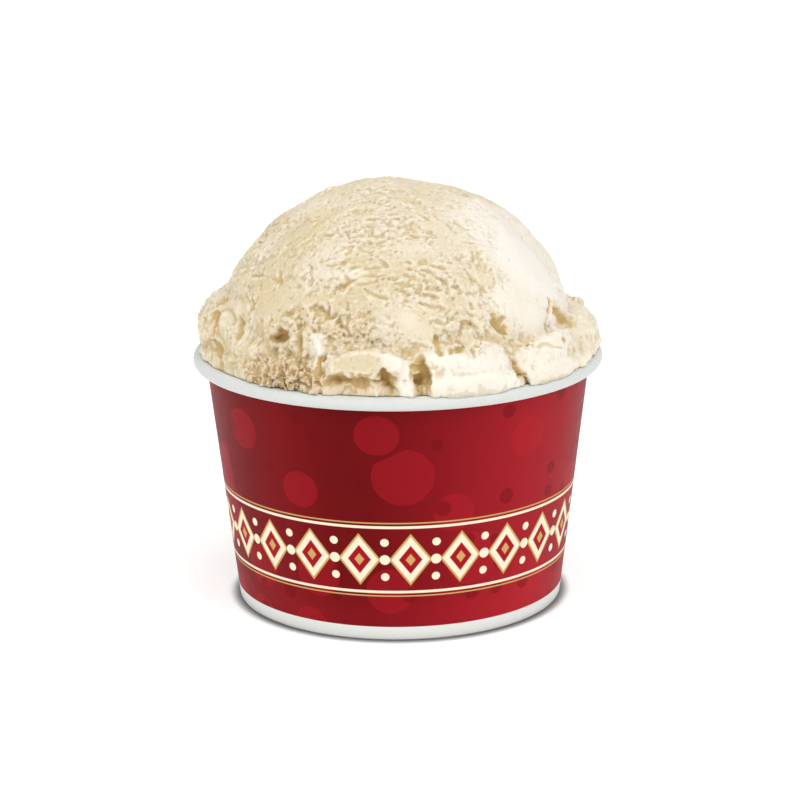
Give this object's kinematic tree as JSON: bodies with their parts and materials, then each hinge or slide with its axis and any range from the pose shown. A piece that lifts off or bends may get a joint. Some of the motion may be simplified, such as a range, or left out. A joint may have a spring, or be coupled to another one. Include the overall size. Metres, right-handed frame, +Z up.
{
  "type": "gelato cup",
  "caption": "Round paper cup with a rolled rim, heaped with one large domed scoop of pale vanilla ice cream that spills over as ragged lumps onto the rim.",
  "frame": {"origin": "centre of the foot ring, on the plane that the cup stands on", "axes": "+Z up along the cup's axis, -Y towards the viewer, +X to the viewer's right"},
  "size_m": [0.096, 0.096, 0.0988],
  "materials": {
    "printed_paper": "clay-coated paper printed deep red with a satin varnish, bare white at the rolled rim and along the foot",
    "white_paper": "plain white uncoated paperboard",
    "ice_cream": "pale cream frozen dairy, granular and pitted with smooth moist patches"
  },
  "bodies": {
    "root": {"cup_wall": "printed_paper", "cup_base": "white_paper", "ice_cream": "ice_cream"}
  },
  "joints": []
}
